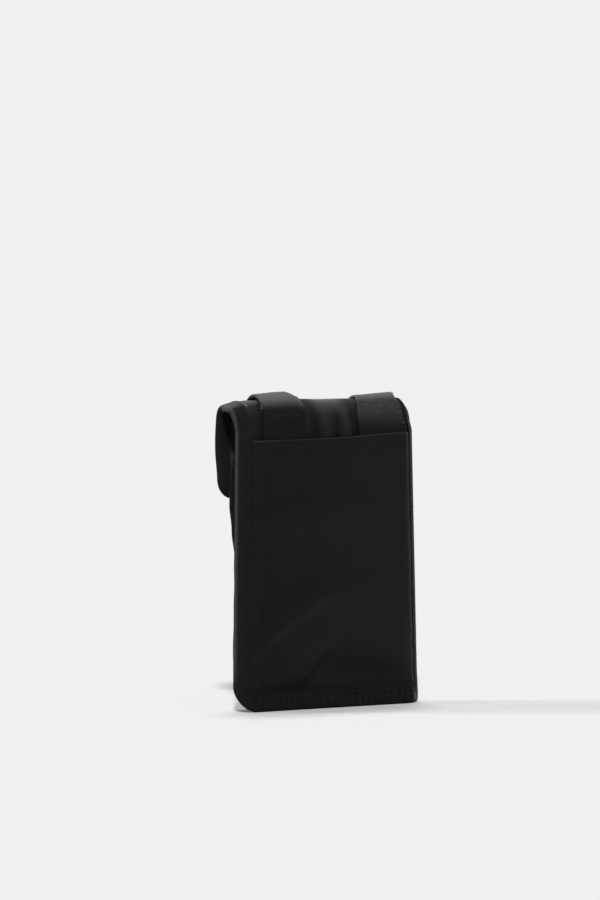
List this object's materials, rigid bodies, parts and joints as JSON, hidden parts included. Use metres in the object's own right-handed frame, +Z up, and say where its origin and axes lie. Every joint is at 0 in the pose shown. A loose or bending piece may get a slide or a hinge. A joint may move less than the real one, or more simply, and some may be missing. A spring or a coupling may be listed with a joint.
{
  "type": "neck pouch",
  "caption": "Flat upright nylon neck pouch with a curved fold-over flap, a slip pocket across the back, bound edges and webbing loops over the crown.",
  "frame": {"origin": "centre of the bounding box, on the surface that the pouch stands on", "axes": "+Z up, +Y towards the back with the slip pocket, -Y towards the flap, +X to the wearer's left when the back lies on the chest"},
  "size_m": [0.1209, 0.0334, 0.1772],
  "materials": {
    "nylon": "woven nylon, slightly shiny",
    "binding": "matt woven tape",
    "webbing": "heavy twill weave",
    "lining": "plain woven lining",
    "foam": "thin padding",
    "hook_and_loop": "hook-and-loop tape"
  },
  "bodies": {
    "pouch_body": {"back_panel": "nylon", "back_foam": "foam", "back_lining": "lining", "slip_pocket": "nylon", "front_panel": "nylon", "front_foam": "foam", "front_lining": "lining", "gusset": "nylon", "back_binding": "binding", "front_binding": "binding", "loop_tape": "hook_and_loop"},
    "flap_crown": {"flap_crown_panel": "nylon", "flap_crown_interlining": "foam", "flap_crown_lining": "lining", "crown_binding_left": "binding", "crown_binding_right": "binding", "left_webbing": "webbing", "right_webbing": "webbing"},
    "flap_front": {"flap_front_panel": "nylon", "flap_front_interlining": "foam", "flap_front_lining": "lining", "flap_binding": "binding", "hook_tape": "hook_and_loop"}
  },
  "joints": [
    {"name": "flap_rise", "type": "hinge", "parent": "pouch_body", "child": "flap_crown", "pos_m": [0, 0.01084, 0.1668], "axis": [-1, 0, 0], "range_deg": [0, 90], "deforming": ["left_webbing", "right_webbing"]},
    {"name": "flap_unfold", "type": "hinge", "parent": "flap_crown", "child": "flap_front", "pos_m": [0, -0.01415, 0.16509], "axis": [-1, 0, 0], "range_deg": [0, 90], "deforming": ["left_webbing", "right_webbing"]}
  ],
  "couplings": [
    {"joint": "flap_unfold", "follows": "flap_rise", "ratio": 1}
  ]
}
